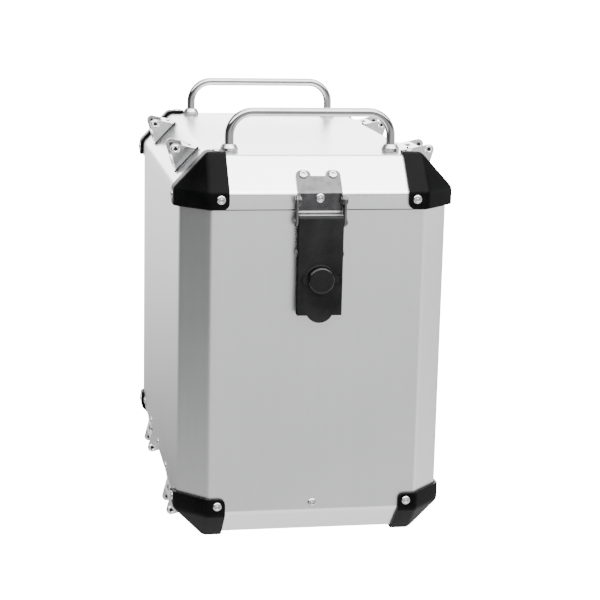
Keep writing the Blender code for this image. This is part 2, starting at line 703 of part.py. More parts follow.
def latch_lever(end, turn, parent):
    """The lever: a channel with a rolled top edge, a round lip below and a hole for the lock."""
    spin = Matrix.Rotation(turn, 4, "Z")

    def spun(bm):
        bm.transform(spin)
        return bm

    low_z = LEVER_BOTTOM_Z - LEVER_LIP_DROP - MM
    roll = (LEVER_FRONT - LEVER_ROLL, LEVER_TOP_Z - LEVER_ROLL)
    profile = [(LEVER_BACK, low_z), (LEVER_FRONT, low_z)]
    profile += arc(roll, LEVER_ROLL, 0, 90, 6)
    profile += [(LEVER_BACK, LEVER_TOP_Z)]
    lever = solid(f"{end}_lever", spun(side_plate(profile, -LEVER_HALF, LEVER_HALF)), "black_coat", parent)
    inside = [(LEVER_BACK - MM, low_z - MM), (LEVER_FRONT - SHEET, low_z - MM)]
    inside += arc(roll, LEVER_ROLL - SHEET, 0, 90, 6)
    inside += [(LEVER_BACK - MM, LEVER_TOP_Z - SHEET)]
    inner_half = LEVER_HALF - SHEET
    combine(lever, "DIFFERENCE", spun(side_plate(inside, -inner_half, inner_half)))
    front = [latch_point(x, LEVER_BACK - 2 * MM, z) for x, z in lever_front()]
    combine(lever, "INTERSECT", spun(prism(front, Vector((0, -LEVER_FRONT, 0)))))
    through = [latch_point(0, LEVER_FRONT + out, LOCK_Z) for out in (-2 * SHEET, 2 * SHEET)]
    combine(lever, "DIFFERENCE", spun(rod(LOCK_BORE, *through, segments=FINE_SEGMENTS)))
    pin_holes = ((PIN_OUT, LOWER_PIN_Z, PIN_BORE), (CATCH_PIN_OUT, CATCH_PIN_Z, PIN_RADIUS + GAP))
    for out, z, radius in pin_holes:
        ends = [latch_point(sx * (LEVER_HALF + MM), out, z) for sx in (-1, 1)]
        combine(lever, "DIFFERENCE", spun(rod(radius, *ends)))
    half = LEVER_HALF + GAP + PIN_HEAD
    start = latch_point(-half, CATCH_PIN_OUT, CATCH_PIN_Z)
    pin = turned(headed_pin(2 * half), facing(start, (1, 0, 0)))
    solid(f"{end}_catch_pin", spun(pin), "stainless", parent)
    low = latch_point(ANCHOR_X, LEVER_FRONT + GAP, LOCK_Z - NECK_HALF)
    high = latch_point(LEVER_HALF - GAP, ANCHOR_FRONT, LOCK_Z + NECK_HALF)
    solid(f"{end}_lock_cap_anchor", spun(block(low, high)), "rubber", parent)


def lock_barrel(end, turn, parent):
    """The lock's barrel with its cam, which hangs down when unlocked."""
    spin = Matrix.Rotation(turn, 4, "Z")
    length = LEVER_FRONT + BARREL_PROUD - BARREL_BACK
    profile = [(0, 0), (BARREL_RADIUS, 0), (BARREL_RADIUS, length), (0, length)]
    bm = turned(profile, facing(latch_point(0, BARREL_BACK, LOCK_Z), (0, -1, 0)), FINE_SEGMENTS)
    bm.transform(spin)
    barrel = solid(f"{end}_lock_barrel", bm, "zinc_plate", parent)
    low = latch_point(-CAM_HALF, BARREL_BACK - CAM_THICKNESS, LOCK_Z - CAM_DROP)
    high = latch_point(CAM_HALF, BARREL_BACK + MM, LOCK_Z + CAM_RISE)
    cam = block(low, high)
    cam.transform(spin)
    combine(barrel, "UNION", cam)


def lock_cap(end, turn, parent):
    """The rubber weather cap over the lock, with a pull tab and the neck of its hinge."""
    spin = Matrix.Rotation(turn, 4, "Z")
    edge = (LOCK_CAP_RADIUS - LOCK_CAP_EDGE, LOCK_CAP_HEIGHT - LOCK_CAP_EDGE)
    profile = [(0, 0), (LOCK_CAP_RADIUS, 0)] + arc(edge, LOCK_CAP_EDGE, 0, 90, 4) + [(0, LOCK_CAP_HEIGHT)]
    bm = turned(profile, facing(latch_point(0, LOCK_CAP_FLOOR, LOCK_Z), (0, -1, 0)), FINE_SEGMENTS)
    bm.transform(spin)
    cap = solid(f"{end}_lock_cap", bm, "rubber", parent)
    tab = arc((-LOCK_CAP_RADIUS, LOCK_Z), TAB_RADIUS, 90, 270, 8)
    tab += [(0, LOCK_Z - TAB_RADIUS), (0, LOCK_Z + TAB_RADIUS)]
    neck = [(0, LOCK_Z - NECK_HALF), (NECK_END_X, LOCK_Z - NECK_HALF)]
    neck += [(NECK_END_X, LOCK_Z + NECK_HALF), (0, LOCK_Z + NECK_HALF)]
    for outline, thickness in ((tab, TAB_THICKNESS), (neck, NECK_THICKNESS)):
        flat = [latch_point(x, LOCK_CAP_FLOOR, z) for x, z in outline]
        bm = prism(flat, Vector((0, -thickness, 0)))
        bm.transform(spin)
        combine(cap, "UNION", bm)


def catch_plate(end, turn):
    """The plate on the case's end wall that the lever's catch pin comes down on."""
    spin = Matrix.Rotation(turn, 4, "Z")
    low_z, high_z = CATCH_Z
    bm = block(latch_point(-CATCH_HALF, GAP, low_z), latch_point(CATCH_HALF, GAP + SHEET, high_z))
    bm.transform(spin)
    plate = solid(f"{end}_catch_plate", bm, "zinc_plate")
    top_z = CATCH_PIN_Z - PIN_RADIUS - 2 * GAP
    ear = [(GAP, top_z - CATCH_EAR_ROOT), (CATCH_PIN_OUT, top_z - CATCH_EAR_TIP)]
    ear += [(CATCH_PIN_OUT + MM, top_z), (GAP, top_z)]
    for x_low, x_high in ((-CATCH_HALF, -CATCH_HALF + SHEET), (CATCH_HALF - SHEET, CATCH_HALF)):
        bm = side_plate(ear, x_low, x_high)
        bm.transform(spin)
        combine(plate, "UNION", bm)


def main():
    clear_scene()
    body_shell()
    rim()
    lid = axis_empty("lid_axis", (0, HALF_Y + PIN_OUT, UPPER_PIN_Z))
    lid_shell(lid)
    lid_seal(lid)
    corner_caps(lid)
    handles(lid)
    lashing_brackets(lid)
    for end, turn in (("front", 0), ("rear", math.pi)):
        spin = Matrix.Rotation(turn, 3, "Z")
        strike_bracket(end, turn, lid)
        catch_plate(end, turn)
        links = None
        if end == "front":
            links = axis_empty("front_link_axis", spin @ latch_point(0, PIN_OUT, UPPER_PIN_Z), lid)
        latch_links(end, turn, links)
        lever = axis_empty(f"{end}_lever_axis", spin @ latch_point(0, PIN_OUT, LOWER_PIN_Z), links)
        latch_lever(end, turn, lever)
        lock = axis_empty(f"{end}_lock_axis", spin @ latch_point(0, LEVER_FRONT, LOCK_Z), lever)
        lock_barrel(end, turn, lock)
        flap = axis_empty(f"{end}_cap_axis", spin @ latch_point(CAP_HINGE_X, CAP_HINGE_OUT, LOCK_Z), lever)
        lock_cap(end, turn, flap)
        out = spin @ Vector((0, -1, 0))
        wall = spin @ latch_point(0, GAP, WALL_RIVET_Z)
        rivet(f"{end}_wall_rivet", wall, out, SHEET + GAP)


main()
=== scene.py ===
"""The looks of a motorcycle side case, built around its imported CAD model. Units are metres."""

import json
import math

import bmesh
import bpy
from mathutils import Matrix, Vector


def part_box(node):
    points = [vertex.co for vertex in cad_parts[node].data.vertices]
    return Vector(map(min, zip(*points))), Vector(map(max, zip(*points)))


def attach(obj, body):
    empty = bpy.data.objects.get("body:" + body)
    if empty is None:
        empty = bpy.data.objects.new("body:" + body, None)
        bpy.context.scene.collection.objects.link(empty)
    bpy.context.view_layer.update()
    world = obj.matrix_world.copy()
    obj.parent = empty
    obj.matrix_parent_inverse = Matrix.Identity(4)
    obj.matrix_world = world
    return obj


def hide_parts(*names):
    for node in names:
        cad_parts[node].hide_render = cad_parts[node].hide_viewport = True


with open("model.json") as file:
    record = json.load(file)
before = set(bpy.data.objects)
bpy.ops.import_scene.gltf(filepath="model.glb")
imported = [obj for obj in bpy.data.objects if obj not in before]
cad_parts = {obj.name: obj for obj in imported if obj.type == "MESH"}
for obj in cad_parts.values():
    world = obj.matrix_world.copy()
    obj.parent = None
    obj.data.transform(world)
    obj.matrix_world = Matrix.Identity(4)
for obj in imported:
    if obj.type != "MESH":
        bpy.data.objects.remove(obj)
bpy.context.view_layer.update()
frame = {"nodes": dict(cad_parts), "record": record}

MM = 0.001
ENDS = (("front", -1), ("rear", 1))
SIDES = (("outer", -1), ("bike", 1))

# Fasteners, and the sunk seat for the one under each lower corner cap
RIVET_HEAD = 4.0 * MM
RIVET_DOME = 1.3 * MM
RIVET_SHANK = 2.0 * MM
WALL_RIVET_HEAD = 3.4 * MM
FOOT_RIVET_HEAD = 3.2 * MM
WALL_RIVET_PITCH = 77 * MM
SINK_RADIUS = 5.2 * MM
SINK_DEPTH = 1.8 * MM

# A latch pin: its shank's share of its head's radius, and its head's length and rounding
PIN_SHANK = 0.58
PIN_CAP = 1.2 * MM
PIN_EDGE = 0.35 * MM

# Corner caps and the shells they sit on. CAP_RIVET_IN is a rivet's distance from its tab's crease.
CAP_THICKNESS = 3.0 * MM
CAP_RIVET_IN = 8.2 * MM
CHAMFER = 25.5 * MM
LID_RIVET_UP = 8.7 * MM
LID_SKIRT = 14.2 * MM

# Lashing brackets
BRACKET_SHEET = 1.5 * MM
BRACKET_LENGTH = 42 * MM
EYE_HEIGHT = 15.2 * MM
EYE_HOLE = 1.7 * MM
EYE_TUBE = 1.85 * MM
EYE_FLANGE = 3.9 * MM
EYE_ROLL = 0.85 * MM
EYE_LIFT = 0.03 * MM
EYE_DEPTH = 2.5 * MM
# A black disc sunk in each eyelet's hole, painted shade: its radius and how deep its face sits
EYE_SHADE_DISC = 1.65 * MM
EYE_SHADE_DISC_SUNK = 0.7 * MM
FOOT_RIVET_ALONG = 9.6 * MM
FOOT_RIVET_PAST = 5.2 * MM
BRACKET_GAP = 0.3 * MM

# Latches. A bend's edges are those longer than BEND_LENGTH. KEYWAY is a length, a width and a depth.
BEND_OFFSET = 2.4 * MM
BEND_LENGTH = 10 * MM
STRIKE_BEND_RISE = 0.7 * MM
HOOD_RADIUS = 13.1 * MM
HOOD_LIFT = -1.1 * MM
HOOD_WIRE = 1.0 * MM
HOOD_ENDS = (26, 154)
HOOD_FLARE = 2.6 * MM
KEYWAY = (7.0 * MM, 1.3 * MM, 2.5 * MM)
# The lever's top, and how far below it starts the bare metal band that paints a highlight on its rolled edge
LEVER_TOP_Z = 300.6 * MM
LEVER_HIGHLIGHT_DROP = 0.4 * MM

# A black ring under the lid's edge, painted shadow along the seam
SEAM_SHADOW_HEIGHT = 0.9 * MM
SEAM_SHADOW_OUTER = 1.1 * MM
SEAM_SHADOW_INNER = 0.1 * MM

# A black strip under a bracket's near cheek, painted shadow along its foot
SHADOW_STRIP_LIFT = 2.1 * MM
SHADOW_STRIP_HALF = 15.5 * MM

# Handles and collars
COLLAR_NECK = 5.6 * MM
COLLAR_BAND = 3.6 * MM
COLLAR_EDGE = 0.4 * MM
COLLAR_CLEARANCE = 0.15 * MM
HANDLE_BEND = 21 * MM
ROD_RADIUS = 4 * MM

# A CAD mesh's points closer than MERGE are one, faces that bend less than FLAT are one, and edges that bend
# more than SHARP are rounded. Points within LEVEL of a head's top are its top ring, and edges within FLUSH of
# a bend's outer side are on it.
MERGE = 0.001 * MM
LEVEL = 0.01 * MM
FLUSH = 0.1 * MM
FLAT = math.radians(1)
SHARP = math.radians(28)

# How far each finish's pieces have their edges rounded
EDGE = {
    "shell": 0.3 * MM,
    "corner_plastic": 0.6 * MM,
    "bracket_steel": 0.3 * MM,
    "latch_plate": 0.3 * MM,
    "black_coat": 0.45 * MM,
    "rubber": 0.35 * MM,
    "fastener_steel": 0.3 * MM,
}

# Camera
AZIMUTH = math.radians(-10.283)
ELEVATION = math.radians(12.231)
ROLL = math.radians(1.337)
DISTANCE = 1.69994
TARGET = Vector((0.02116, 0, 0.17948))
LENS_MM = 102.075

# Studio. The floor and the backdrop look brighter to the camera than they light the case.
CASE_MIDDLE = Vector((0, 0, 0.2))
FLOOR_RADIUS = 40
FLOOR_LIFT = 16.0
ROOM_LIGHT = 0.13
BACKDROP_LIFT = 30.0


# Materials

class Recipe:
    """A Principled material. Its plain colour and roughness give way where ones that vary are linked."""

    def __init__(self, name, color, metallic, roughness):
        self.material = bpy.data.materials.new(name)
        self.material.use_nodes = True
        self.nodes = self.material.node_tree.nodes
        self.links = self.material.node_tree.links
        self.shader = self.nodes["Principled BSDF"]
        self.shader.inputs["Base Color"].default_value = (*color, 1)
        self.shader.inputs["Metallic"].default_value = metallic
        self.shader.inputs["Roughness"].default_value = roughness
        self.place = self.nodes.new("ShaderNodeTexCoord").outputs["Object"]
        self.bumped = None

    def noise(self, scale, detail, stretch=(1, 1, 1)):
        mapping = self.nodes.new("ShaderNodeMapping")
        mapping.inputs["Scale"].default_value = stretch
        self.links.new(self.place, mapping.inputs["Vector"])
        noise = self.nodes.new("ShaderNodeTexNoise")
        noise.inputs["Scale"].default_value = scale
        noise.inputs["Detail"].default_value = detail
        self.links.new(mapping.outputs["Vector"], noise.inputs["Vector"])
        return noise.outputs["Fac"]

    def spread(self, value, low, high, start=0.3, stop=0.7):
        """The value moved to run from low to high between start and stop."""
        node = self.nodes.new("ShaderNodeMapRange")
        node.inputs["From Min"].default_value = start
        node.inputs["From Max"].default_value = stop
        node.inputs["To Min"].default_value = low
        node.inputs["To Max"].default_value = high
        self.links.new(value, node.inputs["Value"])
        return node.outputs["Result"]

    def coordinate(self, vector, axis):
        split = self.nodes.new("ShaderNodeSeparateXYZ")
        self.links.new(vector, split.inputs["Vector"])
        return split.outputs[axis]

    def shade(self, value, dark, light):
        """Colours the surface between dark and light by the value."""
        mix = self.nodes.new("ShaderNodeMix")
        mix.data_type = "RGBA"
        mix.inputs["A"].default_value = (*dark, 1)
        mix.inputs["B"].default_value = (*light, 1)
        self.links.new(value, mix.inputs["Factor"])
        self.links.new(mix.outputs["Result"], self.shader.inputs["Base Color"])

    def bare(self, value, color):
        """Shows bare metal of that colour where the value is 1, over a shaded surface."""
        shaded = self.shader.inputs["Base Color"].links[0].from_socket
        mix = self.nodes.new("ShaderNodeMix")
        mix.data_type = "RGBA"
        mix.inputs["B"].default_value = (*color, 1)
        self.links.new(value, mix.inputs["Factor"])
        self.links.new(shaded, mix.inputs["A"])
        self.links.new(mix.outputs["Result"], self.shader.inputs["Base Color"])
        self.links.new(value, self.shader.inputs["Metallic"])

    def matt_sides(self, gloss):
        """The gloss on faces that look along Y or Z, with none on those that look along X."""
        normal = self.nodes.new("ShaderNodeNewGeometry").outputs["Normal"]
        across = self.nodes.new("ShaderNodeMath")
        across.operation = "ABSOLUTE"
        self.links.new(self.coordinate(normal, "X"), across.inputs[0])
        level = self.spread(across.outputs["Value"], gloss, 0, 0.6, 0.95)
        self.links.new(level, self.shader.inputs["Specular IOR Level"])

    def rough(self, value):
        self.links.new(value, self.shader.inputs["Roughness"])

    def bump(self, value, distance, strength):
        node = self.nodes.new("ShaderNodeBump")
        node.inputs["Distance"].default_value = distance
        node.inputs["Strength"].default_value = strength
        self.links.new(value, node.inputs["Height"])
        if self.bumped:
            self.links.new(self.bumped, node.inputs["Normal"])
        self.bumped = node.outputs["Normal"]
        self.links.new(self.bumped, self.shader.inputs["Normal"])


def anodised_aluminium():
    """Matt silver sheet: a fine blasted grain, faint mill streaks and handling marks."""
    made = Recipe("anodised_aluminium", (0.77, 0.775, 0.78), 1.0, 0.42)
    streaks = made.noise(5, 4, (34, 34, 1.2))
    handling = made.noise(9, 5)
    made.shade(made.spread(streaks, 0, 1), (0.765, 0.77, 0.777), (0.785, 0.789, 0.795))
    made.rough(made.spread(handling, 0.27, 0.30))
    made.bump(made.noise(4.5, 1), 0.3 * MM, 0.2)
    made.bump(made.noise(2600, 2), 0.03 * MM, 0.6)
    return made.material


def moulded_plastic():
    """Black moulding with a fine spark-eroded grain, rubbed a little smoother in patches."""
    made = Recipe("moulded_plastic", (0.003, 0.003, 0.003), 0.0, 0.42)
    made.shader.inputs["Specular IOR Level"].default_value = 0.035
    rubbed = made.noise(28, 4)
    made.shade(made.spread(rubbed, 0, 1), (0.0005, 0.0005, 0.0005), (0.002, 0.002, 0.002))
    made.rough(made.spread(rubbed, 0.30, 0.42))
    made.bump(made.noise(1100, 3), 0.12 * MM, 0.9)
    return made.material


def satin_stainless():
    """Pressed stainless sheet with a fine grain along the case."""
    made = Recipe("satin_stainless", (0.63, 0.63, 0.635), 1.0, 0.30)
    grain = made.noise(900, 2, (6, 1, 6))
    made.shade(made.spread(grain, 0, 1), (0.64, 0.64, 0.643), (0.72, 0.72, 0.723))
    made.rough(made.spread(made.noise(60, 3), 0.17, 0.25))
    made.bump(grain, 0.01 * MM, 0.3)
    return made.material


def polished_stainless():
    """Polished rod: nearly mirror smooth, with faint turning lines and finger haze."""
    made = Recipe("polished_stainless", (0.74, 0.74, 0.74), 1.0, 0.16)
    haze = made.noise(45, 5)
    made.shade(made.spread(haze, 0, 1), (0.28, 0.28, 0.28), (0.34, 0.34, 0.34))
    made.rough(made.spread(haze, 0.06, 0.11))
    made.bump(made.noise(500, 2, (1, 4, 4)), 0.01 * MM, 0.5)
    return made.material


def turned_stainless():
    """The collars' turned surface: fine rings around the rod, less bright than the rod itself."""
    made = Recipe("turned_stainless", (0.72, 0.72, 0.72), 1.0, 0.28)
    rings = made.noise(900, 2, (1, 1, 6))
    made.shade(made.spread(rings, 0, 1), (0.42, 0.42, 0.42), (0.54, 0.54, 0.54))
    made.rough(made.spread(made.noise(200, 3), 0.24, 0.34))
    made.bump(rings, 0.01 * MM, 0.4)
    return made.material


def zinc_plate():
    """Plated pressed steel, dark, mottled and slightly dull."""
    made = Recipe("zinc_plate", (0.52, 0.52, 0.53), 1.0, 0.34)
    mottle = made.noise(120, 5)
    made.shade(made.spread(mottle, 0, 1), (0.064, 0.064, 0.066), (0.100, 0.100, 0.103))
    made.rough(made.spread(mottle, 0.26, 0.38))
    made.bump(made.noise(700, 3), 0.03 * MM, 0.5)
    return made.material


def bright_fastener():
    """Aluminium and steel fastener heads with fine turning marks."""
    made = Recipe("bright_fastener", (0.68, 0.68, 0.68), 1.0, 0.24)
    wear = made.noise(300, 4)
    made.shade(made.spread(wear, 0, 1), (0.44, 0.44, 0.44), (0.56, 0.56, 0.56))
    made.rough(made.spread(wear, 0.14, 0.24))
    made.bump(made.noise(1500, 2), 0.02 * MM, 0.5)
    return made.material


def black_coat():
    """Fine textured black powder coat, matt on its sides, with bare metal along the lever's top as a painted
    highlight.
    """
    made = Recipe("black_coat", (0.007, 0.007, 0.007), 0.0, 0.44)
    wear = made.noise(35, 4)
    made.shade(made.spread(wear, 0, 1), (0.003, 0.003, 0.0033), (0.009, 0.009, 0.0093))
    made.matt_sides(0.09)
    # Painted highlight: a thin band of bare metal along the lever's top
    highlight_z = LEVER_TOP_Z - LEVER_HIGHLIGHT_DROP
    height = made.coordinate(made.place, "Z")
    made.bare(made.spread(height, 0, 1, highlight_z - 0.1 * MM, highlight_z + 0.2 * MM), (0.8, 0.8, 0.8))
    made.rough(made.spread(wear, 0.32, 0.44))
    made.bump(made.noise(900, 4), 0.12 * MM, 0.8)
    return made.material


def dark_plate():
    """The links' darkened plate, matt on its broad sides."""
    made = Recipe("dark_plate", (0.02, 0.02, 0.02), 0.0, 0.34)
    mottle = made.noise(120, 4)
    made.shade(made.spread(mottle, 0, 1), (0.014, 0.014, 0.014), (0.03, 0.03, 0.03))
    made.matt_sides(1.0)
    made.rough(made.spread(mottle, 0.26, 0.38))
    return made.material


def moulded_rubber():
    """The lock cap's smooth black rubber, a little glossy."""
    made = Recipe("moulded_rubber", (0.002, 0.002, 0.002), 0.0, 0.3)
    made.shader.inputs["Specular IOR Level"].default_value = 0.3
    bloom = made.noise(40, 5)
    made.shade(made.spread(bloom, 0, 1), (0.0005, 0.0005, 0.0005), (0.0015, 0.0015, 0.0015))
    made.rough(made.spread(bloom, 0.20, 0.28))
    made.bump(made.noise(1200, 2), 0.01 * MM, 0.5)
    return made.material


def soft_rubber():
    """Soft matt black rubber with a dusty bloom."""
    made = Recipe("soft_rubber", (0.004, 0.004, 0.004), 0.0, 0.6)
    made.shader.inputs["Specular IOR Level"].default_value = 0.3
    bloom = made.noise(40, 5)
    made.shade(made.spread(bloom, 0, 1), (0.002, 0.002, 0.002), (0.007, 0.007, 0.007))
    made.rough(made.spread(bloom, 0.5, 0.68))
    made.bump(made.noise(1200, 2), 0.03 * MM, 0.6)
    return made.material


LOOKS = {
    "shell": anodised_aluminium(),
    "corner_plastic": moulded_plastic(),
    "bracket_steel": satin_stainless(),
    "polished_steel": polished_stainless(),
    "latch_plate": zinc_plate(),
    "fastener_steel": bright_fastener(),
    "black_coat": black_coat(),
    "rubber": soft_rubber(),
}
COLLAR_LOOK = turned_stainless()
LINK_LOOK = dark_plate()
CAP_LOOK = moulded_rubber()


# Making pieces

def body_of(node):
    for body, nodes in frame["record"]["behaviour"]["bodies"].items():
        if node in nodes:
            return body
    raise ValueError(f"no body holds {node}")


def piece(name, bm, slot, body, stands_for=None, smooth=32, look=None):
    """A bmesh as a smooth shaded piece that rides on a body."""
    bmesh.ops.recalc_face_normals(bm, faces=bm.faces)
    mesh = bpy.data.meshes.new(name)
    bm.to_mesh(mesh)
    bm.free()
    mesh.shade_smooth()
    mesh.set_sharp_from_angle(angle=math.radians(smooth))
    obj = bpy.data.objects.new(name, mesh)
    bpy.context.scene.collection.objects.link(obj)
    normals = obj.modifiers.new("normals", "WEIGHTED_NORMAL")
    normals.keep_sharp = True
    settle(obj, slot, body, stands_for, look)


def settle(obj, slot, body, stands_for=None, look=None):
    """Gives a new piece its finish and its body, and hides the CAD node that it stands for."""
    obj.data.materials.append(look or LOOKS[slot])
    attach(obj, body)
    if stands_for:
        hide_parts(stands_for)


def finer(node, slot, cutters=(), bend_z=None, look=None):
    """The CAD node again with whole flat faces and rounded edges, after cutting the cutters from it.

    With bend_z, the outer edge of the sheet's bend at that height is rounded more than the rest.
    """
    bm = bmesh.new()
    bm.from_mesh(frame["nodes"][node].data)
    bmesh.ops.remove_doubles(bm, verts=bm.verts, dist=MERGE)
    if cutters:
        bm = cut(bm, cutters)
    bmesh.ops.dissolve_limit(bm, angle_limit=FLAT, verts=bm.verts, edges=bm.edges)
    if bend_z:
        round_bend(bm, bend_z)
    sharp = [e for e in bm.edges if e.is_manifold and e.calc_face_angle() > SHARP]
    bmesh.ops.bevel(
        bm, geom=sharp, offset=EDGE[slot], segments=3, profile=0.5, affect="EDGES", clamp_overlap=True
    )
    piece(f"{node}_fine", bm, slot, body_of(node), node, look=look)


def round_bend(bm, bend_z):
    """Rounds the outer edge of the bend that runs along X at that height."""
    level = [e for e in bm.edges if all(abs(v.co.z - bend_z) < BEND_OFFSET for v in e.verts)]
    level = [e for e in level if e.calc_length() > BEND_LENGTH]
    far = max(abs(v.co.y) for e in level for v in e.verts)
    bend = [e for e in level if all(far - abs(v.co.y) < FLUSH for v in e.verts)]
    bmesh.ops.bevel(bm, geom=bend, offset=BEND_OFFSET, segments=6, profile=0.5, affect="EDGES")


def cut(bm, cutters):
    """The bmesh less every cutter bmesh."""
    collection = bpy.context.scene.collection
    mesh = bpy.data.meshes.new("cut")
    bm.to_mesh(mesh)
    bm.free()
    target = bpy.data.objects.new("cut", mesh)
    collection.objects.link(target)
    tools = []
    for tool_bm in cutters:
        tool_mesh = bpy.data.meshes.new("tool")
        bmesh.ops.recalc_face_normals(tool_bm, faces=tool_bm.faces)
        tool_bm.to_mesh(tool_mesh)
        tool_bm.free()
        tool = bpy.data.objects.new("tool", tool_mesh)
        collection.objects.link(tool)
        modifier = target.modifiers.new("cut", "BOOLEAN")
        modifier.operation = "DIFFERENCE"
        modifier.object = tool
        tools.append(tool)
    bpy.context.view_layer.update()
    result = bmesh.new()
    result.from_object(target, bpy.context.evaluated_depsgraph_get())
    for obj in (target, *tools):
        bpy.data.objects.remove(obj)
    return result


def wall_rivet_z():
    """The height of the rivets along the foot of the body's walls."""
    points = frame["nodes"]["front_wall_rivet"].data.vertices
    return sum(v.co.z for v in points) / len(points)


def flat_rivet_at():
    """How far out along X and Y the rivets in the corner caps' flat tabs are."""
    body_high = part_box("body_shell")[1]
    return body_high.x - CHAMFER - CAP_RIVET_IN, body_high.y - CHAMFER - CAP_RIVET_IN


def lid_slope():
    """How far the lid's sloped faces run inwards, and how far they rise."""
    lid_low, lid_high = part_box("lid_shell")
    run = lid_high.x - (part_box("body_shell")[1].x - CHAMFER)
    return run, lid_high.z - (lid_low.z + LID_SKIRT)


def facing(place, direction):
    """The matrix that moves the local origin to place and turns local Z to direction."""
    turn = Vector(direction).to_track_quat("Z", "Y").to_matrix().to_4x4()
    return Matrix.Translation(place) @ turn


def lathe(profile, place, segments=40, ring=False):
    """A turned bmesh of (radius, height) points, closed on its axis or, as a ring, on itself."""
    bm = bmesh.new()
    loops = []
    for radius, height in profile:
        if radius == 0:
            loops.append([bm.verts.new((0, 0, height))] * segments)
            continue
        angles = [2 * math.pi * i / segments for i in range(segments)]
        loops.append([bm.verts.new((radius * math.cos(a), radius * math.sin(a), height)) for a in angles])
    bridge(bm, loops + loops[:1] if ring else loops)
    bm.transform(place)
    return bm


def bridge(bm, loops):
    """Faces between each loop of vertices and the next. Where a loop is one point, they are triangles."""
    for lower, upper in zip(loops, loops[1:]):
        for i in range(len(lower)):
            j = (i + 1) % len(lower)
            bm.faces.new(list(dict.fromkeys((lower[i], lower[j], upper[j], upper[i]))))


def arc(center, radius, start, stop, steps):
    """Points along a flat arc, its angles in degrees."""
    points = []
    for i in range(steps + 1):
        angle = math.radians(start + (stop - start) * i / steps)
        points.append((center[0] + radius * math.cos(angle), center[1] + radius * math.sin(angle)))
    return points


def wire(name, path, radius, slot, body, stands_for=None):
    """A round rod along a list of points."""
    curve = bpy.data.curves.new(name, "CURVE")
    curve.dimensions = "3D"
    curve.bevel_depth = radius
    curve.bevel_resolution = 8
    curve.use_fill_caps = True
    spline = curve.splines.new("POLY")
    spline.points.add(len(path) - 1)
    for point, place in zip(spline.points, path):
        point.co = (*place, 1)
    obj = bpy.data.objects.new(name, curve)
    bpy.context.scene.collection.objects.link(obj)
    settle(obj, slot, body, stands_for)


# Fasteners

def rivet_profile(head, tail=0.0):
    """A blind rivet's head, a flattened dome with the broken mandrel in its middle, and its bulged tail.

    The head's points are shares of its radius and of its dome's height.
    """
    dome = RIVET_DOME * head / RIVET_HEAD
    rim = [(head, 0), (head * 0.99, dome * 0.3), (head * 0.93, dome * 0.6), (head * 0.8, dome * 0.88)]
    crown = [(head * 0.64, dome), (head * 0.5, dome * 0.98), (head * 0.43, dome * 0.8)]
    mandrel = [(head * 0.4, dome * 0.35), (head * 0.3, dome * 0.35), (head * 0.24, dome * 0.55)]
    middle = [(head * 0.1, dome * 0.62), (0, dome * 0.62)]
    if not tail:
        return [(0, 0)] + rim + crown + mandrel + middle
    seat = tail - RIVET_SHANK
    below = [(0, -tail), (RIVET_SHANK * 1.2, -tail), (RIVET_SHANK * 1.6, -tail + 0.8 * MM)]
    below += [(RIVET_SHANK * 1.6, -seat - 0.3 * MM), (RIVET_SHANK, -seat), (RIVET_SHANK, 0)]
    return below + rim + crown + mandrel + middle


def rivet(name, place, out, body, head=RIVET_HEAD):
    bm = lathe(rivet_profile(head), facing(place, out))
    piece(name, bm, "fastener_steel", body, smooth=50)


def head_seat(node, out):
    """Where a CAD rivet's head sits, found from the ring at the top of its head."""
    points = [v.co for v in frame["nodes"][node].data.vertices]
    top = max(p.dot(out) for p in points)
    ring = [p for p in points if top - p.dot(out) < LEVEL]
    return sum(ring, Vector()) / len(ring) - out * RIVET_DOME


def cad_rivet(node, out):
    """A finer rivet in the place of a CAD one, with the CAD one's length."""
    seat = head_seat(node, out)
    reach = max(out.dot(seat - v.co) for v in frame["nodes"][node].data.vertices)
    bm = lathe(rivet_profile(RIVET_HEAD, reach), facing(seat, out))
    piece(f"{node}_fine", bm, "fastener_steel", body_of(node), node, smooth=50)


def pin(node):
    """A latch pin along X with a domed head at either end."""
    low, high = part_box(node)
    head = (high.z - low.z) / 2
    length = high.x - low.x
    chamfer = 0.1 * MM
    end = [(0, 0), (head * 0.45, 0), (head - PIN_EDGE, PIN_EDGE * 0.5), (head, PIN_EDGE * 1.6)]
    end += [(head, PIN_CAP - chamfer), (head - chamfer, PIN_CAP), (head * PIN_SHANK, PIN_CAP)]
    profile = end + [(radius, length - height) for radius, height in reversed(end)]
    place = facing((low.x, (low.y + high.y) / 2, (low.z + high.z) / 2), (1, 0, 0))
    bm = lathe(profile, place)
    piece(f"{node}_fine", bm, "fastener_steel", body_of(node), node, look=LOOKS["latch_plate"])


# Corner caps

def cap_rivets():
    """Three rivets in each corner cap: on the end wall, on the long wall and on the flat top or bottom."""
    body_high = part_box("body_shell")[1]
    lid_low, lid_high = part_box("lid_shell")
    flat_x, flat_y = flat_rivet_at()
    lid_flat_z = lid_high.z + CAP_THICKNESS
    groups = (
        ("lid_cap", "lid", lid_high, lid_low.z + LID_RIVET_UP, lid_flat_z, 1),
        ("bottom_cap", "root", body_high, wall_rivet_z(), SINK_DEPTH, -1),
    )
    for cap, body, high, wall_z, flat_z, up in groups:
        for end, sy in ENDS:
            for side, sx in SIDES:
                name = f"{cap}_{end}_{side}"
                end_place = (sx * flat_x, sy * (high.y + CAP_THICKNESS), wall_z)
                side_place = (sx * (high.x + CAP_THICKNESS), sy * flat_y, wall_z)
                rivet(f"{name}_end_rivet", end_place, (0, sy, 0), body)
                rivet(f"{name}_side_rivet", side_place, (sx, 0, 0), body)
                rivet(f"{name}_flat_rivet", (sx * flat_x, sy * flat_y, flat_z), (0, 0, up), body)


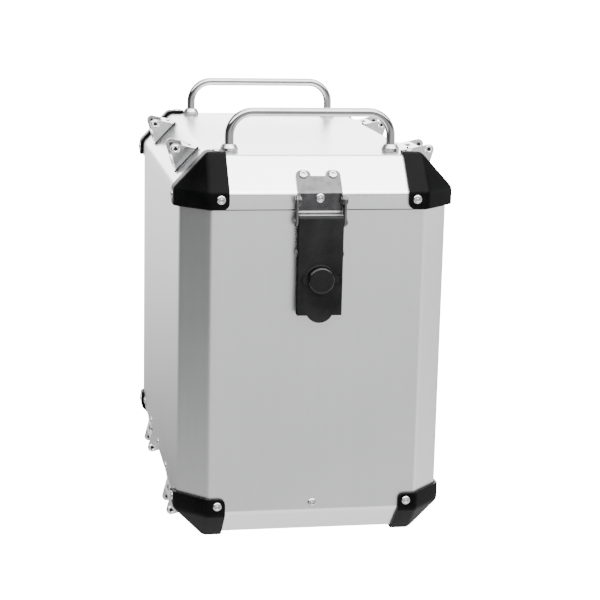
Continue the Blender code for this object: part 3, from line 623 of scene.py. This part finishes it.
def corner_caps():
    """The moulded caps. Those below have a sunk seat for the rivet that would touch the ground."""
    flat_x, flat_y = flat_rivet_at()
    sink = [(0, -SINK_DEPTH), (SINK_RADIUS, -SINK_DEPTH), (SINK_RADIUS, SINK_DEPTH), (0, SINK_DEPTH)]
    for end, sy in ENDS:
        for side, sx in SIDES:
            seat = lathe(sink, Matrix.Translation((sx * flat_x, sy * flat_y, 0)))
            finer(f"bottom_cap_{end}_{side}", "corner_plastic", [seat])
            finer(f"lid_cap_{end}_{side}", "corner_plastic")


# Lashing brackets

def bracket_frame(node, outward, up_face):
    """The middle of the bracket's foot line on the sloped face, at y 0, and its near cheek's y."""
    points = [v.co for v in frame["nodes"][node].data.vertices]
    sole = min(p.dot(outward) for p in points)
    reach = [p.dot(up_face) for p in points]
    middle = up_face * (min(reach) + max(reach)) / 2 + outward * (sole - BRACKET_GAP)
    return middle, min(p.y for p in points)


def eyelet(name, place, out, body):
    """A rolled eyelet with a short tube behind its cheek, and a black disc sunk in its hole as painted shade.
    """
    ring = (EYE_FLANGE + EYE_HOLE) / 2
    half = (EYE_FLANGE - EYE_HOLE) / 2
    profile = [(EYE_HOLE, -EYE_DEPTH)]
    for across, rise in arc((0, 0), 1, 180, 0, 10):
        profile.append((ring + half * across, EYE_LIFT + EYE_ROLL * rise))
    profile += [(EYE_TUBE, EYE_LIFT), (EYE_TUBE, -EYE_DEPTH)]
    piece(name, lathe(profile, facing(place, out), ring=True), "bracket_steel", body, smooth=60)
    # Painted shade: a black disc sunk in the hole
    shade_disc = [(0, -EYE_DEPTH), (EYE_SHADE_DISC, -EYE_DEPTH), (EYE_SHADE_DISC, -EYE_SHADE_DISC_SUNK), (0, -EYE_SHADE_DISC_SUNK)]
    piece(f"{name}_core", lathe(shade_disc, facing(place, out)), "rubber", body)


def shadow_strip(name, foot, up_face, outward, body):
    """A black strip along the foot of a bracket's near cheek, painted shadow. foot is the middle of that
    foot.
    """
    ends = (-SHADOW_STRIP_HALF, SHADOW_STRIP_HALF)
    section = [(along, BRACKET_GAP) for along in ends] + [(along, SHADOW_STRIP_LIFT) for along in reversed(ends)]
    bm = bmesh.new()
    loops = []
    for past in (BRACKET_GAP, BRACKET_SHEET):
        start = foot + Vector((0, past, 0))
        loops.append([bm.verts.new(start + up_face * along + outward * lift) for along, lift in section])
    for loop in loops:
        bm.faces.new(loop)
    bridge(bm, loops)
    piece(name, bm, "rubber", body)


def lashing_bracket(node, outward):
    """A bracket with its two foot rivets, a black strip of painted shadow under its near cheek, and the
    eyelets in its cheeks.
    """
    finer(node, "bracket_steel")
    body = body_of(node)
    along_y = Vector((0, 1, 0))
    up_face = outward.cross(along_y)
    middle, low_y = bracket_frame(node, outward, up_face)
    sole = BRACKET_GAP + BRACKET_SHEET
    for i, along in enumerate((-FOOT_RIVET_ALONG, FOOT_RIVET_ALONG)):
        place = middle + up_face * along + outward * sole
        place += along_y * (low_y + BRACKET_LENGTH + FOOT_RIVET_PAST)
        rivet(f"{node}_foot_rivet_{i + 1}", place, outward, body, FOOT_RIVET_HEAD)
    # Painted shadow under the near cheek's foot
    shadow_strip(f"{node}_pad", middle + along_y * low_y, up_face, outward, body)
    for i, (past, out) in enumerate(((0, -along_y), (BRACKET_LENGTH, along_y))):
        place = middle + outward * EYE_HEIGHT + along_y * (low_y + past)
        eyelet(f"{node}_eyelet_{i + 1}", place, out, body)


def lashing_brackets():
    """Four on the lid's sloped sides and two on the body's lower outer edge."""
    run, rise = lid_slope()
    slope = Vector((rise, 0, run)).normalized()
    for end, _ in ENDS:
        for side, sx in SIDES:
            lashing_bracket(f"lid_bracket_{end}_{side}", Vector((sx * slope.x, 0, slope.z)))
        lashing_bracket(f"lower_bracket_{end}", Vector((-1, 0, -1)).normalized())


# Handles

def handle(end):
    """A bent rod, a collar at either foot, and the nuts inside the lid."""
    node = f"{end}_handle"
    low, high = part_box(node)
    y = (low.y + high.y) / 2
    foot_x = high.x - ROD_RADIUS
    bend = (foot_x - HANDLE_BEND, high.z - ROD_RADIUS - HANDLE_BEND)
    half = [(foot_x, low.z)] + arc(bend, HANDLE_BEND, 0, 90, 24)
    path = [(x, y, z) for x, z in half] + [(-x, y, z) for x, z in reversed(half)]
    wire(f"{node}_fine", path, ROD_RADIUS, "polished_steel", "lid", node)
    for side, _ in SIDES:
        collar = f"{end}_collar_{side}"
        low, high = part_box(collar)
        outer = (high.x - low.x) / 2
        inner = ROD_RADIUS + COLLAR_CLEARANCE
        tall = high.z - low.z
        edge = COLLAR_EDGE
        profile = [(inner, 0), (outer - edge, 0), (outer, edge), (outer, COLLAR_BAND - edge)]
        profile += [(outer - edge, COLLAR_BAND), (COLLAR_NECK + edge, tall - edge), (COLLAR_NECK, tall)]
        profile += [(inner, tall)]
        place = Matrix.Translation(((low.x + high.x) / 2, y, low.z))
        bm = lathe(profile, place, 56, ring=True)
        piece(f"{collar}_fine", bm, "polished_steel", "lid", collar, look=COLLAR_LOOK)
        finer(f"{end}_handle_nut_{side}", "fastener_steel")


# Latches

def latch(end, sy):
    """One latch: its plates, links, pins and rivets, the lever with its hood, the lock and its cap."""
    skirt_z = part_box("lid_shell")[0].z + LID_SKIRT
    finer(f"{end}_strike_bracket", "latch_plate", bend_z=skirt_z + STRIKE_BEND_RISE)
    finer(f"{end}_catch_plate", "latch_plate")
    for side in ("left", "right"):
        finer(f"{end}_link_{side}", "latch_plate", look=LINK_LOOK)
    for part in ("upper_pin_left", "upper_pin_right", "lower_pin", "catch_pin"):
        pin(f"{end}_{part}")
    run, rise = lid_slope()
    ear_out = Vector((0, sy * rise, run)).normalized()
    wall_out = Vector((0, sy, 0))
    for side, out in (("left", ear_out), ("right", ear_out), ("middle", wall_out)):
        cad_rivet(f"{end}_strike_rivet_{side}", out)
    cad_rivet(f"{end}_wall_rivet", wall_out)
    finer(f"{end}_lever", "black_coat")
    finer(f"{end}_lock_cap", "rubber", look=CAP_LOOK)
    finer(f"{end}_lock_cap_anchor", "rubber", look=CAP_LOOK)
    lock(end, sy)


def lock(end, sy):
    """The lock barrel with its keyway, and the hood over it on the lever."""
    low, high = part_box(f"{end}_lock_barrel")
    z = high.z - (high.x - low.x) / 2
    face_y = low.y if sy < 0 else high.y
    length, width, depth = KEYWAY
    keyway = bmesh.new()
    bmesh.ops.create_cube(keyway, size=1)
    keyway.transform(Matrix.Translation((0, face_y, z)) @ Matrix.Diagonal((width, 2 * depth, length, 1)))
    finer(f"{end}_lock_barrel", "latch_plate", [keyway])
    lever_low, lever_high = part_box(f"{end}_lever")
    lever_y = lever_low.y if sy < 0 else lever_high.y
    path = [(across, lever_y, z + HOOD_LIFT + up) for across, up in hood_arc()]
    wire(f"{end}_lever_hood", path, HOOD_WIRE, "black_coat", f"{end}_lever")


def hood_arc():
    """The hood over the lock as (x, z) points: an arc whose ends flare outwards."""
    start, stop = HOOD_ENDS
    turn = math.radians(start)
    reach = HOOD_RADIUS + HOOD_FLARE
    flare = arc((reach * math.cos(turn), reach * math.sin(turn)), HOOD_FLARE, 270, 180 + start, 8)
    return flare + arc((0, 0), HOOD_RADIUS, start, stop, 40)[1:-1] + [(-x, z) for x, z in reversed(flare)]


# Case

def case():
    """The formed shells, rim frame and seal, a painted seam shadow, and the row of small rivets low on the
    outer wall.
    """
    for node in ("body_shell", "rim_frame", "lid_shell"):
        finer(node, "shell")
    finer("lid_seal", "rubber")
    # Painted shadow along the seam under the lid's edge
    seam_shadow_ring()
    wall_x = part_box("body_shell")[0].x
    for i in range(-2, 3):
        place = (wall_x, i * WALL_RIVET_PITCH, wall_rivet_z())
        rivet(f"outer_wall_rivet_{i + 3}", place, (-1, 0, 0), "root", WALL_RIVET_HEAD)


def seam_shadow_ring():
    """A thin black ring against the body's walls under the lid's edge, painted shadow along the seam."""
    body_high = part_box("body_shell")[1]
    top_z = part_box("lid_shell")[0].z
    low_z = top_z - SEAM_SHADOW_HEIGHT
    bm = bmesh.new()
    rings = []
    for offset, z in ((SEAM_SHADOW_INNER, top_z), (SEAM_SHADOW_OUTER, top_z), (SEAM_SHADOW_OUTER, low_z), (SEAM_SHADOW_INNER, low_z)):
        half_x = body_high.x + offset
        half_y = body_high.y + offset
        corner = CHAMFER + offset * (2 - math.sqrt(2))
        ring = []
        for sx, sy in ((-1, -1), (1, -1), (1, 1), (-1, 1)):
            ends = [(sx * half_x, sy * (half_y - corner)), (sx * (half_x - corner), sy * half_y)]
            ring += [bm.verts.new((x, y, z)) for x, y in (ends if sx == sy else ends[::-1])]
        rings.append(ring)
    bridge(bm, rings + rings[:1])
    piece("lid_seam_shadow_ring", bm, "rubber", "lid")


# Studio

def floor():
    """A pale disc that the case's own metal doesn't mirror."""
    bm = bmesh.new()
    bmesh.ops.create_circle(bm, cap_ends=True, radius=FLOOR_RADIUS, segments=96)
    mesh = bpy.data.meshes.new("floor")
    bm.to_mesh(mesh)
    bm.free()
    obj = bpy.data.objects.new("floor", mesh)
    bpy.context.scene.collection.objects.link(obj)
    made = Recipe("pale_floor", (0.9, 0.9, 0.9), 0.0, 0.75)
    seen = made.nodes.new("ShaderNodeLightPath").outputs["Is Camera Ray"]
    lift = made.nodes.new("ShaderNodeMath")
    lift.operation = "MULTIPLY"
    lift.inputs[1].default_value = FLOOR_LIFT
    made.links.new(seen, lift.inputs[0])
    made.shader.inputs["Emission Color"].default_value = (1, 1, 1, 1)
    made.links.new(lift.outputs["Value"], made.shader.inputs["Emission Strength"])
    obj.data.materials.append(made.material)
    obj.visible_glossy = False


def softbox(name, place, size, power):
    """A rectangular soft light that faces the middle of the case."""
    light = bpy.data.lights.new(name, "AREA")
    light.shape = "RECTANGLE"
    light.size, light.size_y = size
    light.energy = power
    obj = bpy.data.objects.new(name, light)
    obj.location = place
    obj.rotation_euler = (CASE_MIDDLE - Vector(place)).to_track_quat("-Z", "Y").to_euler()
    bpy.context.scene.collection.objects.link(obj)


def sky_math(nodes, links, operation, first, second):
    """The first value joined with a second one, which may be a number, by the operation."""
    node = nodes.new("ShaderNodeMath")
    node.operation = operation
    links.new(first, node.inputs[0])
    if isinstance(second, (int, float)):
        node.inputs[1].default_value = second
    else:
        links.new(second, node.inputs[1])
    return node.outputs["Value"]


def glow(world, patches):
    """Lights the world dimly all round and by soft patches, and shows the camera an even backdrop.

    A patch is its strength and, for each axis that bounds it, the direction's coordinate where it starts and
    where it is full.
    """
    nodes = world.node_tree.nodes
    links = world.node_tree.links
    place = nodes.new("ShaderNodeTexCoord").outputs["Generated"]
    split = nodes.new("ShaderNodeSeparateXYZ")
    links.new(place, split.inputs["Vector"])
    total = None
    for strength, bounds in patches:
        patch = None
        for axis, start, full in bounds:
            ramp = nodes.new("ShaderNodeMapRange")
            ramp.interpolation_type = "SMOOTHSTEP"
            ramp.inputs["From Min"].default_value = start
            ramp.inputs["From Max"].default_value = full
            links.new(split.outputs[axis], ramp.inputs["Value"])
            edge = ramp.outputs["Result"]
            patch = edge if patch is None else sky_math(nodes, links, "MULTIPLY", patch, edge)
        patch = sky_math(nodes, links, "MULTIPLY", patch, strength)
        total = patch if total is None else sky_math(nodes, links, "ADD", total, patch)
    total = sky_math(nodes, links, "ADD", total, ROOM_LIGHT)
    seen = nodes.new("ShaderNodeLightPath").outputs["Is Camera Ray"]
    extra = sky_math(nodes, links, "MULTIPLY", seen, BACKDROP_LIFT)
    links.new(sky_math(nodes, links, "ADD", total, extra), nodes["Background"].inputs["Strength"])


def studio():
    """A pale floor in a dim room with soft patches of light all round, the brightest high up and ahead."""
    floor()
    world = bpy.data.worlds.new("studio")
    bpy.context.scene.world = world
    world.use_nodes = True
    world.node_tree.nodes["Background"].inputs["Color"].default_value = (1, 1, 1, 1)
    above = (4.2, (("Z", 0.55, 0.95), ("X", -0.6, 0.3)))
    behind = (2.4, (("Y", 0.6, 0.93), ("Z", -0.15, 0.15)))
    behind_low = (1.9, (("Y", 0.1, 0.9), ("Z", 0.1, -0.1), ("Z", -0.36, -0.08)))
    table = (0.43, (("Z", 0.1, -0.06), ("X", -0.98, -0.2), ("Y", 0.5, 0.1)))
    horizon = (0.86, (("Z", -0.30, -0.12), ("Z", 0.16, 0.04), ("X", -0.9, 0.1), ("Y", 0.5, 0.1)))
    under = (1.3, (("Z", -0.28, -0.6),))
    left_low = (0.42, (("Z", -0.24, -0.38), ("X", -0.5, -0.9)))
    right_low = (0.9, (("Z", -0.10, -0.34), ("X", 0.5, 0.9)))
    ahead = (9.0, (("Z", 0.36, 0.5), ("Z", 0.94, 0.82), ("Y", 0.0, -0.3)))
    glow(world, (above, behind, behind_low, table, horizon, under, left_low, right_low, ahead))
    softbox("overhead", (0.1, -0.1, 2.4), (2.2, 2.2), 60)
    softbox("behind", (0.4, 2.6, 0.9), (2.6, 1.2), 45)
    softbox("right", (2.4, 0.2, 0.9), (1.4, 1.6), 12)


def camera():
    """The camera at the photograph's angle, turned a little about its own axis."""
    flat = math.cos(ELEVATION)
    back = Vector((math.sin(AZIMUTH) * flat, -math.cos(AZIMUTH) * flat, math.sin(ELEVATION)))
    right = (-back).cross(Vector((0, 0, 1))).normalized()
    up = right.cross(-back)
    rolled_right = right * math.cos(ROLL) + up * math.sin(ROLL)
    rolled_up = up * math.cos(ROLL) - right * math.sin(ROLL)
    data = bpy.data.cameras.new("camera")
    data.lens = LENS_MM
    obj = bpy.data.objects.new("camera", data)
    turn = Matrix((rolled_right, rolled_up, back)).transposed().to_4x4()
    obj.matrix_world = Matrix.Translation(TARGET + back * DISTANCE) @ turn
    bpy.context.scene.collection.objects.link(obj)
    bpy.context.scene.camera = obj


case()
corner_caps()
cap_rivets()
lashing_brackets()
for end, sy in ENDS:
    handle(end)
    latch(end, sy)
studio()
camera()
